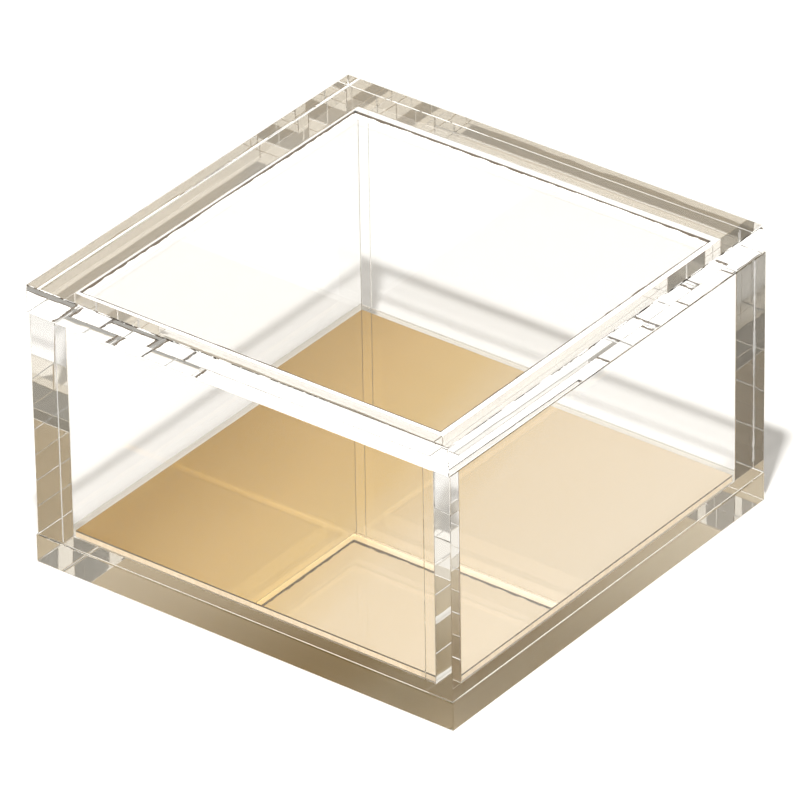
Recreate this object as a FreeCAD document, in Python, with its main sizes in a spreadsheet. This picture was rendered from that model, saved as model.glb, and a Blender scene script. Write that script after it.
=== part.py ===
import FreeCAD, Part
import os

# Clear acrylic keepsake box, millimetres, +Z up.
# Origin: middle of the box's outline, on the surface that the box stands on.
# +X points to the right wall, +Y to the back wall.
#
# How it is made: six rectangles sawn from 1/4 in clear sheet (base, four walls, lid), a thinner
# clear square bonded under the lid that drops between the walls and locates it, and a mirrored
# gold panel laid on the base inside the walls. The left and right walls run the full depth of the
# box, and the front and back walls butt between them. The base stands a little proud of the walls
# all round. The lid is loose: it rests on the wall tops and sits a fraction off centre in its play.

doc = FreeCAD.newDocument("clear_box")

# ---------------------------------------------------------------- driving dimensions
DIMS = [
    ("base_side", "102.1", "base plate, across"),
    ("base_depth", "102.35", "base plate, front to back"),
    ("base_shift_y", "-0.075", "middle of the base plate"),
    ("sheet_thick", "6.35", "base and wall sheet, 1/4 in"),
    ("wall_span", "101.5", "outside of the walls, across"),
    ("wall_depth", "102.2", "outside of the walls, front to back"),
    ("wall_shift_y", "0.15", "middle of the walls"),
    ("wall_height", "50.4", "walls, standing on the base"),
    ("lid_side", "101.7", "lid plate, side of the square"),
    ("lid_thick", "6.35", "lid plate, 1/4 in sheet"),
    ("locator_side", "87.2", "locating plate under the lid, side of the square"),
    ("locator_thick", "3.5", "locating plate, cast sheet"),
    ("mirror_side", "88.2", "mirror panel, across"),
    ("mirror_depth", "88.95", "mirror panel, front to back"),
    ("mirror_shift_y", "0.175", "middle of the mirror panel"),
    ("mirror_thick", "1.5", "mirror panel, 1/16 in sheet"),
    ("arris", "0.2", "break on the polished outside edges"),
    ("lead_in", "0.3", "break round the lower edge of the locating plate"),
    ("lid_shift_x", "-0.2", "where the lid rests in its play"),
    ("lid_shift_y", "-0.35", "where the lid rests in its play"),
]
sheet = doc.addObject("Spreadsheet::Sheet", "dims")
sheet.Label = "dims"
for i, (name, value, note) in enumerate(DIMS, start=1):
    sheet.set("A%d" % i, name)
    sheet.set("B%d" % i, value)
    sheet.set("C%d" % i, note)
    sheet.setAlias("B%d" % i, name)
doc.recompute()


def plane(body, role):
    """Origin plane of a body, such as XY_Plane."""
    for feature in body.Origin.OriginFeatures:
        if feature.Role == role:
            return feature
    raise RuntimeError("no plane " + role)


def rectangle(sketch, x0, y0, x1, y1):
    """Four lines joined end to end, horizontal and vertical; lines 0 bottom, 1 right, 2 top, 3 left."""
    import Sketcher

    V = FreeCAD.Vector
    corners = [V(x0, y0, 0), V(x1, y0, 0), V(x1, y1, 0), V(x0, y1, 0)]
    for k in range(4):
        sketch.addGeometry(Part.LineSegment(corners[k], corners[(k + 1) % 4]), False)
    for k in range(4):
        sketch.addConstraint(Sketcher.Constraint("Coincident", k, 2, (k + 1) % 4, 1))
    for k in (0, 2):
        sketch.addConstraint(Sketcher.Constraint("Horizontal", k))
    for k in (1, 3):
        sketch.addConstraint(Sketcher.Constraint("Vertical", k))


def sized(sketch, constraint, expression):
    """Adds a driving dimension and ties it to the sheet."""
    i = sketch.addConstraint(constraint)
    sketch.setExpression("Constraints[%d]" % i, expression)
    return i


def flat_plate(label, side, depth, thick, z, x=None, y=None):
    """A flat plate: a centred rectangle sketched on XY and padded upwards, placed at height z."""
    import Sketcher

    body = doc.addObject("PartDesign::Body", label)
    body.Label = label
    sketch = body.newObject("Sketcher::SketchObject", label + "_outline")
    sketch.AttachmentSupport = [(plane(body, "XY_Plane"), "")]
    sketch.MapMode = "FlatFace"
    rectangle(sketch, -40, -40, 40, 40)
    # opposite corners are symmetric about the sketch's origin, so the rectangle stays centred
    sketch.addConstraint(Sketcher.Constraint("Symmetric", 0, 1, 2, 1, -1, 1))
    sized(sketch, Sketcher.Constraint("Distance", 0, 80), side)
    sized(sketch, Sketcher.Constraint("Distance", 1, 80), depth)
    pad = body.newObject("PartDesign::Pad", label + "_sheet")
    pad.Profile = sketch
    pad.setExpression("Length", thick)
    body.setExpression("Placement.Base.z", z)
    if x:
        body.setExpression("Placement.Base.x", x)
    if y:
        body.setExpression("Placement.Base.y", y)
    doc.recompute()
    return body, pad


def wall(label, role, length, x, y, z):
    """A wall: a length by height rectangle sketched on an upright plane, padded to both sides by
    half the sheet's thickness, so that the wall's own middle plane is where it is placed."""
    import Sketcher

    body = doc.addObject("PartDesign::Body", label)
    body.Label = label
    sketch = body.newObject("Sketcher::SketchObject", label + "_outline")
    sketch.AttachmentSupport = [(plane(body, role), "")]
    sketch.MapMode = "FlatFace"
    rectangle(sketch, -40, 0, 40, 50)
    # the bottom edge lies on the sketch's horizontal axis and is centred on its origin
    sketch.addConstraint(Sketcher.Constraint("Symmetric", 0, 1, 0, 2, -1, 1))
    sized(sketch, Sketcher.Constraint("Distance", 0, 80), length)
    sized(sketch, Sketcher.Constraint("Distance", 1, 50), "dims.wall_height")
    pad = body.newObject("PartDesign::Pad", label + "_sheet")
    pad.Profile = sketch
    pad.Midplane = True
    pad.setExpression("Length", "dims.sheet_thick")
    if x:
        body.setExpression("Placement.Base.x", x)
    if y:
        body.setExpression("Placement.Base.y", y)
    body.setExpression("Placement.Base.z", z)
    doc.recompute()
    return body, pad


def edge_break(body, pad, wanted, size):
    """Chamfers the pad's straight edges for which wanted(midpoint, direction, low, high) is true."""
    shape = pad.Shape
    box = shape.BoundBox
    low = FreeCAD.Vector(box.XMin, box.YMin, box.ZMin)
    high = FreeCAD.Vector(box.XMax, box.YMax, box.ZMax)
    names = []
    for k, edge in enumerate(shape.Edges, start=1):
        a, b = edge.Vertexes[0].Point, edge.Vertexes[-1].Point
        along = FreeCAD.Vector(b.x - a.x, b.y - a.y, b.z - a.z)
        along.normalize()
        middle = FreeCAD.Vector((a.x + b.x) / 2, (a.y + b.y) / 2, (a.z + b.z) / 2)
        if wanted(middle, along, low, high):
            names.append("Edge%d" % k)
    chamfer = body.newObject("PartDesign::Chamfer", body.Name + "_edges")
    chamfer.Base = (pad, names)
    chamfer.setExpression("Size", size)
    body.Tip = chamfer
    doc.recompute()
    return len(names)


def near(a, b):
    return abs(a - b) < 1e-4


def every_edge(m, d, low, high):
    return True


# ---------------------------------------------------------------- the fixed box
base, pad = flat_plate(
    "base_plate", "dims.base_side", "dims.base_depth", "dims.sheet_thick", "0", None, "dims.base_shift_y"
)
edge_break(base, pad, every_edge, "dims.arris")

WALL_Z = "dims.sheet_thick"
WALL_OFF = "dims.wall_span / 2 - dims.sheet_thick / 2"
FRONT_Y = "dims.wall_shift_y - dims.wall_depth / 2 + dims.sheet_thick / 2"
BACK_Y = "dims.wall_shift_y + dims.wall_depth / 2 - dims.sheet_thick / 2"
FULL = "dims.wall_depth"
BETWEEN = "dims.wall_span - 2 * dims.sheet_thick"

left, pad = wall("left_wall", "YZ_Plane", FULL, "-(%s)" % WALL_OFF, "dims.wall_shift_y", WALL_Z)
edge_break(
    left,
    pad,
    # outside top edge, the top edges of both ends and the two outside corners; never a bonded edge
    lambda m, d, low, high: (near(m.x, low.x) and near(abs(d.z), 1))
    or (near(m.x, low.x) and near(m.z, high.z))
    or (near(abs(d.x), 1) and near(m.z, high.z)),
    "dims.arris",
)
right, pad = wall("right_wall", "YZ_Plane", FULL, WALL_OFF, "dims.wall_shift_y", WALL_Z)
edge_break(
    right,
    pad,
    lambda m, d, low, high: (near(m.x, high.x) and near(abs(d.z), 1))
    or (near(m.x, high.x) and near(m.z, high.z))
    or (near(abs(d.x), 1) and near(m.z, high.z)),
    "dims.arris",
)
front, pad = wall("front_wall", "XZ_Plane", BETWEEN, None, FRONT_Y, WALL_Z)
edge_break(front, pad, lambda m, d, low, high: near(m.y, low.y) and near(m.z, high.z), "dims.arris")
back, pad = wall("back_wall", "XZ_Plane", BETWEEN, None, BACK_Y, WALL_Z)
edge_break(back, pad, lambda m, d, low, high: near(m.y, high.y) and near(m.z, high.z), "dims.arris")

# the gold mirror lies on the base, mirrored side down, with a little room to the walls all round
mirror, pad = flat_plate(
    "mirror_panel",
    "dims.mirror_side",
    "dims.mirror_depth",
    "dims.mirror_thick",
    "dims.sheet_thick",
    None,
    "dims.mirror_shift_y",
)

# ---------------------------------------------------------------- the loose lid
LID_Z = "dims.sheet_thick + dims.wall_height"
lid, pad = flat_plate(
    "lid_plate", "dims.lid_side", "dims.lid_side", "dims.lid_thick", LID_Z, "dims.lid_shift_x", "dims.lid_shift_y"
)
edge_break(lid, pad, every_edge, "dims.arris")

locator, pad = flat_plate(
    "lid_locating_plate",
    "dims.locator_side",
    "dims.locator_side",
    "dims.locator_thick",
    LID_Z + " - dims.locator_thick",
    "dims.lid_shift_x",
    "dims.lid_shift_y",
)
edge_break(
    locator,
    pad,
    lambda m, d, low, high: near(m.z, low.z) or near(abs(d.z), 1),
    "dims.lead_in",
)

doc.recompute()

# ---------------------------------------------------------------- checks, then the files
bad = [o.Name for o in doc.Objects if "Invalid" in o.State or "Error" in o.State]
if bad:
    raise RuntimeError("objects that did not recompute: " + ", ".join(bad))

pieces = [base, left, right, front, back, mirror, lid, locator]
for piece in pieces:
    shape = piece.Shape
    if shape.isNull() or not shape.isValid() or len(shape.Solids) != 1:
        raise RuntimeError("bad shape: " + piece.Label)

os.makedirs("parts", exist_ok=True)
for piece in pieces:
    piece.Shape.exportStep("parts/%s.step" % piece.Label)
    box = piece.Shape.BoundBox
    print(
        "%-20s x %8.3f %8.3f  y %8.3f %8.3f  z %7.3f %7.3f  volume %10.2f"
        % (piece.Label, box.XMin, box.XMax, box.YMin, box.YMax, box.ZMin, box.ZMax, piece.Shape.Volume)
    )
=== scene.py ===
import math
import random

import bmesh
import bpy
from mathutils import Matrix, Vector


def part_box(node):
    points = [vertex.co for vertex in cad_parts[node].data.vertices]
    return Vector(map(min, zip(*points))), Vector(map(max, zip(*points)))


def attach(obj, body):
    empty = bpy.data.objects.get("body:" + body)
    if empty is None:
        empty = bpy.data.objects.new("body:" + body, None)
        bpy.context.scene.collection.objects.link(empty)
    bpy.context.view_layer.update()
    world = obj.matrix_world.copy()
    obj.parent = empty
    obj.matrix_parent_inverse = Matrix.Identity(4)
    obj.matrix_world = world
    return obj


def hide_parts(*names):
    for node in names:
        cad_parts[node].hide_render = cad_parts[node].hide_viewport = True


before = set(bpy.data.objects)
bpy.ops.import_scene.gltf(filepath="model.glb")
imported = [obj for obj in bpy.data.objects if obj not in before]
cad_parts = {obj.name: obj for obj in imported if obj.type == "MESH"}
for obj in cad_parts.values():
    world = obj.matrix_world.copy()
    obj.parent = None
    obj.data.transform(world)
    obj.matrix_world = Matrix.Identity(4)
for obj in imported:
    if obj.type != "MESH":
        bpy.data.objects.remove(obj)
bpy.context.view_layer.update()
scene = bpy.context.scene
MM = 0.001
GOLD_PAINTED_REFLECTION = (  # tone of the mirror coat across the panel, with a painted reflection: paler and whiter towards +x
    (0.0, (0.45, 0.255, 0.025)),
    (0.27, (0.67, 0.435, 0.135)),
    (0.43, (0.73, 0.505, 0.19)),
    (0.62, (0.815, 0.66, 0.445)),
    (1.0, (0.865, 0.735, 0.555)),
)

# ------------------------------------------------------------------ stage settings
scene.view_settings.view_transform = "Standard"
scene.view_settings.look = "None"
scene.view_settings.exposure = 0.0
scene.view_settings.gamma = 1.0
scene.cycles.max_bounces = 48
scene.cycles.transmission_bounces = 48
scene.cycles.glossy_bounces = 24
scene.cycles.transparent_max_bounces = 48
scene.cycles.diffuse_bounces = 4
scene.cycles.volume_bounces = 0
scene.cycles.caustics_reflective = True
scene.cycles.caustics_refractive = True
scene.cycles.blur_glossy = 0.0
scene.cycles.sample_clamp_indirect = 4.0
scene.cycles.sample_clamp_direct = 0.0


# ------------------------------------------------------------------ node helpers
def material(name):
    m = bpy.data.materials.new(name)
    m.use_nodes = True
    m.node_tree.nodes.clear()
    return m


def node(nt, kind, at=(0, 0), **values):
    n = nt.nodes.new(kind)
    n.location = at
    for k, v in values.items():
        if hasattr(n, k):
            setattr(n, k, v)
        else:
            n.inputs[k].default_value = v
    return n


def link(nt, a, b):
    nt.links.new(a, b)


def object_noise(nt, stretch, scale, detail=3.0, at=(-900, 0)):
    tc = node(nt, "ShaderNodeTexCoord", (at[0] - 400, at[1]))
    mp = node(nt, "ShaderNodeMapping", (at[0] - 200, at[1]))
    mp.inputs["Scale"].default_value = stretch
    link(nt, tc.outputs["Object"], mp.inputs["Vector"])
    n = node(nt, "ShaderNodeTexNoise", at)
    n.inputs["Scale"].default_value = scale
    n.inputs["Detail"].default_value = detail
    link(nt, mp.outputs[0], n.inputs["Vector"])
    return n


def acrylic(name, lamp=0.9, rough=0.0, clear=1.0, colour=(1.0, 1.0, 1.0), wave=None, painted_glow=0.0):
    """Clear cast sheet. Lamps reach what is behind it: shadow and diffuse rays pass straight through, dimmed by lamp.
    wave is (stretch, scale, height, detail) of the fine relief that saw, flame or casting has left on the surface."""
    m = material(name)
    nt = m.node_tree
    out = node(nt, "ShaderNodeOutputMaterial", (800, 0))
    p = node(nt, "ShaderNodeBsdfPrincipled", (200, 0))
    p.inputs["Base Color"].default_value = (*colour, 1)
    p.inputs["Roughness"].default_value = rough
    p.inputs["IOR"].default_value = 1.49
    p.inputs["Transmission Weight"].default_value = clear
    if painted_glow:  # painted glow: emission stands in for light that has travelled inside the sheet and leaves at a sawn edge
        p.inputs["Emission Color"].default_value = (1.0, 0.99, 0.96, 1)
        p.inputs["Emission Strength"].default_value = painted_glow
    if wave:
        n = object_noise(nt, wave[0], wave[1], wave[3], at=(-500, -200))
        bump = node(nt, "ShaderNodeBump", (-100, -200))
        bump.inputs["Strength"].default_value = 1.0
        bump.inputs["Distance"].default_value = wave[2]
        link(nt, n.outputs["Fac"], bump.inputs["Height"])
        link(nt, bump.outputs[0], p.inputs["Normal"])
    t = node(nt, "ShaderNodeBsdfTransparent", (200, -300))
    t.inputs["Color"].default_value = (lamp, lamp, lamp, 1)
    lp = node(nt, "ShaderNodeLightPath", (-200, 300))
    mx = node(nt, "ShaderNodeMath", (0, 300))
    mx.operation = "MAXIMUM"
    mix = node(nt, "ShaderNodeMixShader", (500, 0))
    link(nt, lp.outputs["Is Shadow Ray"], mx.inputs[0])
    link(nt, lp.outputs["Is Diffuse Ray"], mx.inputs[1])
    link(nt, mx.outputs[0], mix.inputs[0])
    link(nt, p.outputs[0], mix.inputs[1])
    link(nt, t.outputs[0], mix.inputs[2])
    link(nt, mix.outputs[0], out.inputs["Surface"])
    return m


def bond(name, colour=(1.0, 1.0, 1.0)):
    m = material(name)
    nt = m.node_tree
    out = node(nt, "ShaderNodeOutputMaterial", (600, 0))
    t = node(nt, "ShaderNodeBsdfTransparent", (200, 0))
    t.inputs["Color"].default_value = (*colour, 1)
    link(nt, t.outputs[0], out.inputs["Surface"])
    return m


def solid(name, dark, light, rough, stretch=(1, 1, 1), scale=400.0, metallic=0.0, painted_glow=0.0):
    """An opaque finish that wanders between two tones."""
    m = material(name)
    nt = m.node_tree
    out = node(nt, "ShaderNodeOutputMaterial", (600, 0))
    p = node(nt, "ShaderNodeBsdfPrincipled", (200, 0))
    n = object_noise(nt, stretch, scale, at=(-500, 0))
    mix = node(nt, "ShaderNodeMix", (-150, 0))
    mix.data_type = "RGBA"
    mix.inputs[6].default_value = (*dark, 1)
    mix.inputs[7].default_value = (*light, 1)
    link(nt, n.outputs["Fac"], mix.inputs[0])
    link(nt, mix.outputs[2], p.inputs["Base Color"])
    p.inputs["Roughness"].default_value = rough
    p.inputs["Metallic"].default_value = metallic
    # painted glow: the finish also emits its own colour
    if painted_glow:
        link(nt, mix.outputs[2], p.inputs["Emission Color"])
        p.inputs["Emission Strength"].default_value = painted_glow
    link(nt, p.outputs[0], out.inputs["Surface"])
    return m


SHEET = ((1, 1, 1), 45.0, 0.004 * MM, 1.0)
SAWN = ((1, 1, 0.6), 110.0, 0.05 * MM, 0.3)
ACRYLIC = acrylic("acrylic_sheet", lamp=0.99, wave=SHEET)
WALL = acrylic("acrylic_wall", lamp=0.985, wave=SHEET)
EDGE = acrylic("acrylic_edge", lamp=0.13, wave=SAWN)
LOW_EDGE = acrylic("acrylic_edge_base", lamp=0.9, wave=SAWN)
TOP = acrylic("acrylic_wall_top", lamp=0.74, wave=SAWN)
LID_EDGE = acrylic("acrylic_edge_lid", lamp=0.03, wave=SAWN)
# painted glow: the frosted sides of the locating plate also emit a near-white glow, standing in for light guided inside
# the plate
FROSTED_PAINTED_GLOW = acrylic("acrylic_sawn_frosted_painted_glow", lamp=0.35, rough=0.35, clear=0.3, wave=((1, 1, 0.1), 700.0, 0.01 * MM, 2.0), painted_glow=0.8)
BOND = bond("acrylic_bond")
BED = bond("acrylic_bond_bed", (0.94, 0.93, 0.91))  # the bed of cement the walls stand in
# painted shade: the beds under the back and left walls are tinted darker than the rest, standing in for the shade of
# light that runs down those walls into the dark under the box
BED_BACK_PAINTED_SHADE = bond("acrylic_bond_bed_back_painted_shade", (0.78, 0.745, 0.68))
BED_LEFT_PAINTED_SHADE = bond("acrylic_bond_bed_left_painted_shade", (0.78, 0.745, 0.68))
SEAM_DEEP = bond("acrylic_bond_seam", (0.4, 0.385, 0.35))
CEMENT = solid("cement_line_dark", (0.05, 0.035, 0.02), (0.16, 0.115, 0.07), 0.45, scale=900.0)
CEMENT_BROWN = solid("cement_brown", (0.16, 0.1, 0.04), (0.42, 0.3, 0.15), 0.6, (1, 1, 0.3), 300.0)
CEMENT_WHITE = solid("cement_line_white", (0.55, 0.55, 0.54), (0.92, 0.92, 0.92), 0.4, scale=1500.0)


# ------------------------------------------------------------------ plates
def plate(name, lo, hi, cuts=((), (), ()), bonded=None, arris=0.12 * MM, sharp=None, face_axis=2, face=None, edge=None):
    """A sheet with its faces split along cuts, so that the parts of a face that are bonded to a neighbour can be told
    from the free parts, and its free edges broken by arris. bonded(centre, normal) is true on a bonded face, which gets
    the bond material. sharp(centre, direction) is true on an edge that keeps its corner."""
    cs = [sorted({lo[k], hi[k], *[c for c in cuts[k] if lo[k] + 1e-7 < c < hi[k] - 1e-7]}) for k in range(3)]
    bm = bmesh.new()
    made = {}

    def vert(p):
        key = tuple(round(c, 7) for c in p)
        if key not in made:
            made[key] = bm.verts.new(p)
        return made[key]

    for k in range(3):
        a, b = [(1, 2), (2, 0), (0, 1)][k]
        for side in (0, 1):
            w = cs[k][-1] if side else cs[k][0]
            for i in range(len(cs[a]) - 1):
                for j in range(len(cs[b]) - 1):
                    quad = []
                    for ia, jb in ((i, j), (i + 1, j), (i + 1, j + 1), (i, j + 1)):
                        p = [0, 0, 0]
                        p[k], p[a], p[b] = w, cs[a][ia], cs[b][jb]
                        quad.append(vert(p))
                    if not side:
                        quad.reverse()
                    bm.faces.new(quad)
    bm.normal_update()
    for f in bm.faces:
        if bonded and bonded(f.calc_center_median(), f.normal):
            f.material_index = 1
        else:
            f.material_index = 0 if abs(f.normal[face_axis]) > 0.9 else 2
    edges = []
    for e in bm.edges:
        n1, n2 = (f.normal for f in e.link_faces)
        if n1.dot(n2) > 0.5:
            continue
        c = (e.verts[0].co + e.verts[1].co) / 2
        d = (e.verts[1].co - e.verts[0].co).normalized()
        if sharp and sharp(c, d):
            continue
        edges.append(e)
    if edges:
        bmesh.ops.bevel(bm, geom=edges, offset=arris, segments=2, profile=0.5, affect="EDGES", clamp_overlap=True, material=2)
    bmesh.ops.recalc_face_normals(bm, faces=bm.faces)
    me = bpy.data.meshes.new(name)
    bm.to_mesh(me)
    bm.free()
    o = bpy.data.objects.new(name, me)
    scene.collection.objects.link(o)
    me.materials.append(face or ACRYLIC)
    me.materials.append(BOND)
    me.materials.append(edge or EDGE)
    return o


G = 0.01 * MM
pieces = {}


def shrink(lo, hi, d):
    return Vector([lo[k] + d for k in range(3)]), Vector([hi[k] - d for k in range(3)])


base_lo, base_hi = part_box("base_plate")
fw_lo, fw_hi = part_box("front_wall")
bw_lo, bw_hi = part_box("back_wall")
lw_lo, lw_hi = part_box("left_wall")
rw_lo, rw_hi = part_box("right_wall")
mi_lo, mi_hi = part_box("mirror_panel")
lid_lo, lid_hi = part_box("lid_plate")
loc_lo, loc_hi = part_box("lid_locating_plate")
XO, XI = rw_hi.x, rw_lo.x  # outer and inner faces of the walls
FO, FI, BI, BO = fw_lo.y, fw_hi.y, bw_lo.y, bw_hi.y


A = 0.12 * MM  # every sawn corner is broken this much, so a seam shows as a fine groove


def is_ring(c):
    inside = abs(c.x) < XO - A and FO + A < c.y < BO - A
    return inside and not (abs(c.x) < XI + A and FI - A < c.y < BI + A)


def sharp_low(c, d, s, axis, face):
    """The lower inner edge of a wall keeps its corner."""
    return abs(c.z - lw_lo.z) < 0.1 * MM and abs(d.z) < 0.1 and abs(c[axis] - face) < 0.1 * MM


lo, hi = shrink(base_lo, base_hi, G)
pieces["base_plate"] = plate(
    "base_plate_acrylic", lo, hi,
    cuts=(
        (-XO + A, -XI - A, mi_lo.x, mi_hi.x, XI + A, XO - A),
        (FO + A, FI - A, mi_lo.y, mi_hi.y, BI + A, min(BO, base_hi.y - 0.25 * MM) - A),
        (),
    ),
    bonded=lambda c, n: n.z > 0.9 and (is_ring(c) or (mi_lo.x < c.x < mi_hi.x and mi_lo.y < c.y < mi_hi.y)),
    arris=0.2 * MM, edge=LOW_EDGE,
)
for nm, (a, b) in {"left_wall": (lw_lo, lw_hi), "right_wall": (rw_lo, rw_hi)}.items():
    lo, hi = shrink(a, b, G)
    s = 1 if nm == "left_wall" else -1  # side that the inner face looks to
    pieces[nm] = plate(
        nm + "_acrylic", lo, hi, cuts=((), (FI - A, BI + A), ()),
        bonded=lambda c, n, s=s: n.z < -0.9 or (n.x * s > 0.9 and not FI - A < c.y < BI + A),
        sharp=lambda c, d, s=s: sharp_low(c, d, s, 0, -s * XI),
        arris=A, face_axis=0, face=WALL,
    )
for nm, (a, b) in {"front_wall": (fw_lo, fw_hi), "back_wall": (bw_lo, bw_hi)}.items():
    lo, hi = shrink(a, b, G)
    pieces[nm] = plate(
        nm + "_acrylic", lo, hi,
        bonded=lambda c, n: n.z < -0.9 or abs(n.x) > 0.9,
        sharp=lambda c, d, f=(FI if nm == "front_wall" else BI): sharp_low(c, d, 0, 1, f),
        arris=A, face_axis=1, face=WALL,
    )
for nm in ("left_wall", "right_wall", "front_wall", "back_wall"):
    me = pieces[nm].data
    me.materials.append({"back_wall": BED_BACK_PAINTED_SHADE, "left_wall": BED_LEFT_PAINTED_SHADE}.get(nm, BED))
    me.materials.append(SEAM_DEEP)
    me.materials.append(TOP)
    for f in me.polygons:
        if f.material_index == 1 and f.normal.z < -0.9:
            f.material_index = 3
        elif f.material_index == 1 and nm == "back_wall" and f.normal.x > 0.9:
            f.material_index = 4
        elif f.material_index == 2 and f.normal.z > 0.9:
            f.material_index = 5
lo, hi = shrink(lid_lo, lid_hi, G)
pieces["lid_plate"] = plate(
    "lid_plate_acrylic", lo, hi,
    cuts=((loc_lo.x, loc_hi.x), (loc_lo.y, loc_hi.y), ()),
    bonded=lambda c, n: n.z < -0.9 and loc_lo.x < c.x < loc_hi.x and loc_lo.y < c.y < loc_hi.y,
    arris=0.2 * MM, edge=LID_EDGE,
)
lo, hi = shrink(loc_lo, loc_hi, G)
pieces["lid_locating_plate"] = plate(
    "lid_locating_plate_acrylic", lo, hi,
    bonded=lambda c, n: n.z > 0.9,
    sharp=lambda c, d: c.z > loc_hi.z - 0.1 * MM,
    arris=0.3 * MM, edge=FROSTED_PAINTED_GLOW,
)


def fringe(name, start, end, inward, least, most, step, seed, mat, thick=0.006 * MM, fade=None):
    """A ragged run of cement along a seam: a thin leaf whose inner border wanders between least and most."""
    rnd = random.Random(seed)
    start, end, inward = Vector(start), Vector(end), Vector(inward)
    along = end - start
    n = max(4, int(along.length / step))
    up = along.normalized().cross(inward.normalized()) * thick / 2
    bm = bmesh.new()
    rows = []
    w = (least + most) / 2
    for i in range(n + 1):
        t = (i + (rnd.uniform(-0.35, 0.35) if 0 < i < n else 0)) / n
        slow = 0.5 + 0.5 * math.sin(6.3 * t * 1.7 + seed) * math.sin(6.3 * t * 0.6 + 2.0 * seed)
        w = 0.45 * w + 0.55 * rnd.uniform(least, least + (most - least) * (0.25 + 0.75 * slow))
        k = fade(t) if fade else 1.0
        p = start + along * t
        q = p + inward * max(w * k, 0.02 * MM)
        rows.append([bm.verts.new(v) for v in (p + up, q + up, q - up, p - up)])
    for a, b in zip(rows, rows[1:]):
        for j in range(4):
            bm.faces.new((a[j], a[(j + 1) % 4], b[(j + 1) % 4], b[j]))
    bm.faces.new(rows[0])
    bm.faces.new(list(reversed(rows[-1])))
    bmesh.ops.recalc_face_normals(bm, faces=bm.faces)
    me = bpy.data.meshes.new(name)
    bm.to_mesh(me)
    bm.free()
    o = bpy.data.objects.new(name, me)
    scene.collection.objects.link(o)
    me.materials.append(mat)
    return o


extra = []  # (object, body, node it stands with)
zt = loc_hi.z
e = 0.02 * MM
corners = [(loc_lo.x + e, loc_lo.y + e), (loc_hi.x - e, loc_lo.y + e), (loc_hi.x - e, loc_hi.y - e), (loc_lo.x + e, loc_hi.y - e)]
for i, inward in enumerate(((0, 1, 0), (-1, 0, 0), (0, -1, 0), (1, 0, 0))):
    p, q = corners[i], corners[(i + 1) % 4]
    least, most = ((0.12, 0.5), (0.12, 0.6), (0.35, 1.25), (0.35, 1.25))[i]
    o = fringe("lid_bond_line_%d" % i, (*p, zt), (*q, zt), inward, least * MM, most * MM, 0.9 * MM, 3 + i, CEMENT)
    extra.append((o, "lid", "lid_locating_plate"))
for i, (sx, y, sy, least, most) in enumerate((
    (1, BO, 1, 0.05, 0.6), (-1, BO, 1, 0.03, 0.2), (-1, FO, -1, 0.12, 0.3), (1, FO, -1, 0.02, 0.1),
)):
    # the seam between a side wall and the end of the front or back wall, at its outer edge
    o = fringe(
        "corner_bond_line_%d" % i, (sx * XI, y - sy * A, bw_lo.z + 1.5 * MM), (sx * XI, y - sy * A, bw_hi.z - 3 * MM),
        (0, -sy, 0), least * MM, most * MM, 0.5 * MM, 11 + i, CEMENT_WHITE,
    )
    extra.append((o, "box", "right_wall" if sx > 0 else "left_wall"))
for i, (sx, y, sy) in enumerate(((-1, BI, 1), (1, BI, 1), (-1, FI, -1), (1, FI, -1))):
    # the same seam where it comes out in the inner corner
    o = fringe(
        "inner_bond_line_%d" % i, (sx * (XI + 0.02 * MM), y, bw_lo.z + 0.6 * MM), (sx * (XI + 0.02 * MM), y, bw_hi.z - 1 * MM),
        (0, sy, 0), 0.1 * MM, 0.3 * MM, 1.1 * MM, 31 + i, CEMENT_BROWN, thick=0.03 * MM,
    )
    extra.append((o, "box", "right_wall" if sx > 0 else "left_wall"))
# a bead of cement stands in the groove of the front left seam
o = fringe(
    "corner_bead", (-XI - 0.14 * MM, FO + 0.04 * MM, bw_lo.z + 0.4 * MM), (-XI - 0.14 * MM, FO + 0.04 * MM, bw_hi.z - 0.6 * MM),
    (1, 0, 0), 0.24 * MM, 0.32 * MM, 2.0 * MM, 21, CEMENT_WHITE, thick=0.04 * MM,
)
extra.append((o, "box", "left_wall"))

lo, hi = shrink(mi_lo, mi_hi, G)
lo.z = mi_lo.z + 0.06 * MM
top = hi.z
mirror = plate("gold_mirror_panel", lo, hi, cuts=((), (), (hi.z - 0.3 * MM,)), arris=0.08 * MM)
pieces["mirror_panel"] = mirror
lo, hi = shrink(mi_lo, mi_hi, G)
hi.z = mi_lo.z + 0.05 * MM
backing = plate("gold_mirror_backing", lo, hi, arris=0.005 * MM)
extra.append((backing, "box", "mirror_panel"))

# painted glow: the sawn sides of the panel also emit their own colour
gold_side_painted_glow = solid("gold_sawn_side_painted_glow", (0.62, 0.47, 0.28), (0.85, 0.7, 0.5), 0.5, (1, 1, 0.1), 900.0, painted_glow=0.25)
# the top 0.3 mm of the panel's sawn sides is drawn dark
gold_dark = solid("gold_dark_top_arris", (0.06, 0.03, 0.002), (0.13, 0.07, 0.008), 0.7, scale=500.0)
backing_paint_and_glow = solid("mirror_backing_paint_and_painted_glow", (0.2, 0.15, 0.09), (0.26, 0.2, 0.13), 0.6, scale=60.0)
nt = backing_paint_and_glow.node_tree
p = [n for n in nt.nodes if n.type == "BSDF_PRINCIPLED"][0]
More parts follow.
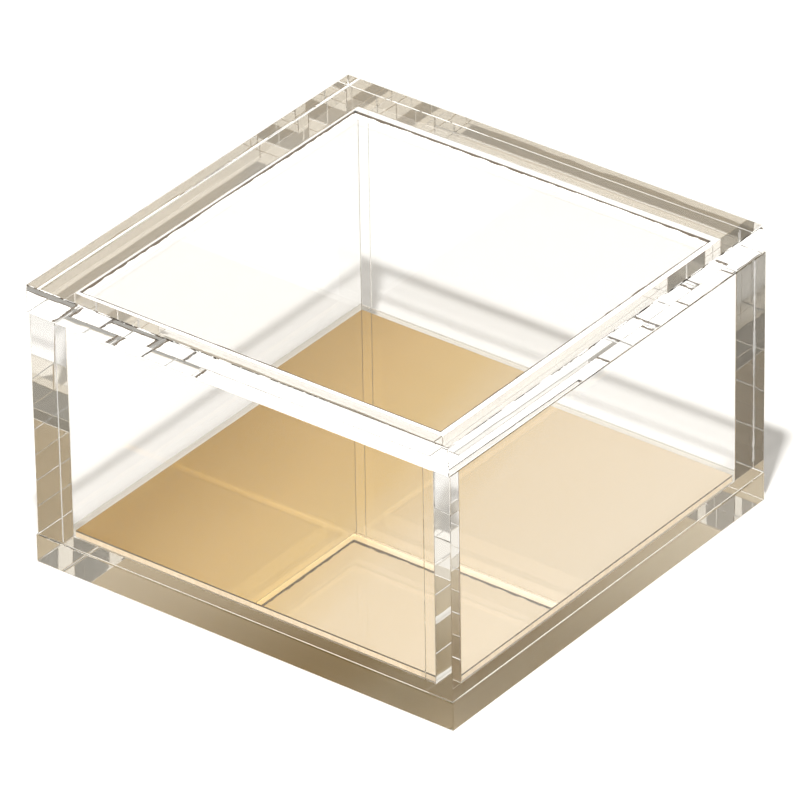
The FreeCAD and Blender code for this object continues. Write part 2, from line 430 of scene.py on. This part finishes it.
# painted glow: the backing's emission is dim near the front right corner of the panel, brighter farther from it, and a
# little brighter towards +x
tc = node(nt, "ShaderNodeTexCoord", (-1100, -500))
far = node(nt, "ShaderNodeVectorMath", (-900, -500))
far.operation = "DISTANCE"
far.inputs[1].default_value = (mi_hi.x, mi_lo.y, mi_lo.z)
link(nt, tc.outputs["Object"], far.inputs[0])
span = node(nt, "ShaderNodeMapRange", (-700, -500))
span.interpolation_type = "SMOOTHSTEP"
span.inputs["From Min"].default_value = 35.0 * MM
span.inputs["From Max"].default_value = 92.0 * MM
link(nt, far.outputs["Value"], span.inputs["Value"])
painted_glow_tone = node(nt, "ShaderNodeMix", (-450, -500))
painted_glow_tone.data_type = "RGBA"
painted_glow_tone.inputs[6].default_value = (0.115, 0.07, 0.01, 1)
painted_glow_tone.inputs[7].default_value = (0.36, 0.3, 0.2, 1)
link(nt, span.outputs["Result"], painted_glow_tone.inputs[0])
sep = node(nt, "ShaderNodeSeparateXYZ", (-900, -800))
link(nt, tc.outputs["Object"], sep.inputs[0])
right = node(nt, "ShaderNodeMapRange", (-700, -800))
right.interpolation_type = "SMOOTHSTEP"
right.inputs["From Min"].default_value = 12.0 * MM
right.inputs["From Max"].default_value = 30.0 * MM
link(nt, sep.outputs["X"], right.inputs["Value"])
side = node(nt, "ShaderNodeMix", (-250, -500))
side.data_type = "RGBA"
side.blend_type = "ADD"
side.inputs[7].default_value = (0.045, 0.052, 0.05, 1)
link(nt, right.outputs["Result"], side.inputs[0])
link(nt, painted_glow_tone.outputs[2], side.inputs[6])
link(nt, side.outputs[2], p.inputs["Emission Color"])
p.inputs["Emission Strength"].default_value = 1.0  # painted glow: the backing emits, standing in for light trapped in the base plate

# the mirror coat lies on the top face; its gold runs from deep to pale across the panel. The pale, whitened +x side is
# a painted reflection, standing in for brighter light reflected over the gold there
coat = material("gold_mirror_coat_painted_reflection")
nt = coat.node_tree
out = node(nt, "ShaderNodeOutputMaterial", (900, 0))
p = node(nt, "ShaderNodeBsdfPrincipled", (600, 0))
tc = node(nt, "ShaderNodeTexCoord", (-900, 0))
slant = node(nt, "ShaderNodeVectorMath", (-700, 200))
slant.operation = "DOT_PRODUCT"
slant.inputs[1].default_value = (1.0, 0.16, 0.0)
link(nt, tc.outputs["Object"], slant.inputs[0])
n = object_noise(nt, (1, 1, 1), 30.0, at=(-500, -300))
painted_reflection_pos = node(nt, "ShaderNodeMath", (-300, -100))
painted_reflection_pos.operation = "MULTIPLY_ADD"
link(nt, n.outputs["Fac"], painted_reflection_pos.inputs[0])
painted_reflection_pos.inputs[1].default_value = 6.0 * MM
link(nt, slant.outputs["Value"], painted_reflection_pos.inputs[2])
span = node(nt, "ShaderNodeMapRange", (-100, 0))
span.inputs["From Min"].default_value = mi_lo.x + 3.0 * MM
span.inputs["From Max"].default_value = mi_hi.x + 3.0 * MM
link(nt, painted_reflection_pos.outputs[0], span.inputs["Value"])
ramp = node(nt, "ShaderNodeValToRGB", (150, 0))
ramp.color_ramp.interpolation = "LINEAR"
for k in range(len(GOLD_PAINTED_REFLECTION) - 2):
    ramp.color_ramp.elements.new(0.5)
for stop, (at, colour) in zip(ramp.color_ramp.elements, GOLD_PAINTED_REFLECTION):
    stop.position = at
for stop, (at, colour) in zip(ramp.color_ramp.elements, GOLD_PAINTED_REFLECTION):
    stop.color = (*colour, 1)
link(nt, span.outputs["Result"], ramp.inputs[0])
link(nt, ramp.outputs[0], p.inputs["Base Color"])
p.inputs["Metallic"].default_value = 1.0
p.inputs["Roughness"].default_value = 0.015
ripple = object_noise(nt, (1, 1, 1), 14.0, at=(-500, -600))
bump = node(nt, "ShaderNodeBump", (300, -400))
bump.inputs["Strength"].default_value = 1.0
bump.inputs["Distance"].default_value = 0.006 * MM
link(nt, ripple.outputs["Fac"], bump.inputs["Height"])
link(nt, bump.outputs[0], p.inputs["Normal"])
link(nt, p.outputs[0], out.inputs["Surface"])
mirror.data.materials.clear()
for m in (coat, backing_paint_and_glow, gold_side_painted_glow, gold_dark):
    mirror.data.materials.append(m)
for f in mirror.data.polygons:
    z = f.normal.z
    f.material_index = 1 if z < -0.9 else (0 if z > 0.95 else (3 if f.center.z > top - 0.3 * MM else 2))
backing.data.materials.clear()
backing.data.materials.append(backing_paint_and_glow)
for f in backing.data.polygons:
    f.material_index = 0

body = {"lid_plate": "lid", "lid_locating_plate": "lid"}
for nm, o in pieces.items():
    extra.append((o, body.get(nm, "box"), nm))
for o, on, nm in extra:
    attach(o, on)
    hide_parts(nm)

# ------------------------------------------------------------------ floor
me = bpy.data.meshes.new("studio_floor")
bm = bmesh.new()
R = 3.0
vs = [bm.verts.new((x * R, y * R, -0.00003)) for x, y in ((-1, -1), (1, -1), (1, 1), (-1, 1))]
bm.faces.new(vs)
bm.to_mesh(me)
bm.free()
floor = bpy.data.objects.new("studio_floor", me)
scene.collection.objects.link(floor)
m = material("floor_white")
nt = m.node_tree
out = node(nt, "ShaderNodeOutputMaterial", (600, 0))
p = node(nt, "ShaderNodeBsdfPrincipled", (200, 0))
p.inputs["Base Color"].default_value = (0.9, 0.9, 0.9, 1)
p.inputs["Roughness"].default_value = 0.9
nt.links.new(p.outputs[0], out.inputs["Surface"])
me.materials.append(m)


# ------------------------------------------------------------------ light
def area(name, at, to, size, power, colour=(1, 1, 1), size_y=None):
    d = bpy.data.lights.new(name, "AREA")
    d.shape = "RECTANGLE"
    d.size = size
    d.size_y = size_y or size
    d.energy = power
    d.color = colour
    o = bpy.data.objects.new(name, d)
    o.location = at
    o.rotation_euler = (Vector(to) - Vector(at)).to_track_quat("-Z", "Y").to_euler()
    scene.collection.objects.link(o)
    return o


KEY = 16.0
area("key", (0.2325, -0.39, 1.197), (0, 0, 0.0), 0.06, KEY, (1.0, 0.985, 0.95))

# the room: four soft walls of light round the box, one overhead, and a dim rest
ROOM = {
    "behind": ((-0.522, 0.674, 0.522), (1.0, 0.96, 0.88)),
    "right": ((0.522, 0.674, 0.522), (0.36, 0.345, 0.31)),
    "left": ((-0.522, -0.674, 0.522), (0.42, 0.39, 0.34)),
    "camera": ((0.522, -0.674, 0.522), (0.45, 0.42, 0.36)),
    "above": ((0.0, 0.0, 1.0), (0.5, 0.48, 0.45)),
}
REST = (0.6, 0.58, 0.53)
world = bpy.data.worlds.new("studio")
scene.world = world
world.use_nodes = True
nt = world.node_tree
nt.nodes.clear()
out = node(nt, "ShaderNodeOutputWorld", (900, 0))
bg = node(nt, "ShaderNodeBackground", (700, 0))
nt.links.new(bg.outputs[0], out.inputs["Surface"])
tc = node(nt, "ShaderNodeTexCoord", (-900, 0))
last = None
for i, (nm, (axis, colour)) in enumerate(ROOM.items()):
    dot = node(nt, "ShaderNodeVectorMath", (-600, -200 * i))
    dot.operation = "DOT_PRODUCT"
    nt.links.new(tc.outputs["Generated"], dot.inputs[0])
    dot.inputs[1].default_value = Vector(axis).normalized()
    ease = node(nt, "ShaderNodeMapRange", (-350, -200 * i))
    ease.interpolation_type = "SMOOTHSTEP"
    ease.inputs["From Min"].default_value = 0.5
    ease.inputs["From Max"].default_value = 0.9
    nt.links.new(dot.outputs["Value"], ease.inputs["Value"])
    mix = node(nt, "ShaderNodeMix", (0 + 130 * i, -100 * i))
    mix.data_type = "RGBA"
    nt.links.new(ease.outputs["Result"], mix.inputs[0])
    if last is None:
        mix.inputs[6].default_value = (*REST, 1)
    else:
        nt.links.new(last, mix.inputs[6])
    mix.inputs[7].default_value = (*colour, 1)
    last = mix.outputs[2]
nt.links.new(last, bg.inputs["Color"])
bg.inputs["Strength"].default_value = 1.0

# ------------------------------------------------------------------ camera
S = 0.1021
YAW, PITCH, ROLL = math.radians(127.743), math.radians(31.488), math.radians(-0.908)
DIST, OX, OY, F_PX = 16.905 * S, 0.0002 * S, -0.0039 * S, 8849.0
d = Vector((math.cos(PITCH) * math.cos(YAW), math.cos(PITCH) * math.sin(YAW), -math.sin(PITCH)))
r0 = d.cross(Vector((0, 0, 1))).normalized()
u0 = r0.cross(d)
r = math.cos(ROLL) * r0 + math.sin(ROLL) * u0
u = -math.sin(ROLL) * r0 + math.cos(ROLL) * u0
cam = bpy.data.cameras.new("camera")
cam.sensor_width = 36.0
cam.lens = F_PX / 800 * 36.0
cam.clip_start = 0.1
cam.clip_end = 20.0
co = bpy.data.objects.new("camera", cam)
scene.collection.objects.link(co)
pos = -d * DIST + r * OX + u * OY + Vector((0, -0.0002, 0.3 * S))
co.matrix_world = Matrix(((r.x, u.x, -d.x, pos.x), (r.y, u.y, -d.y, pos.y), (r.z, u.z, -d.z, pos.z), (0, 0, 0, 1)))
scene.camera = co
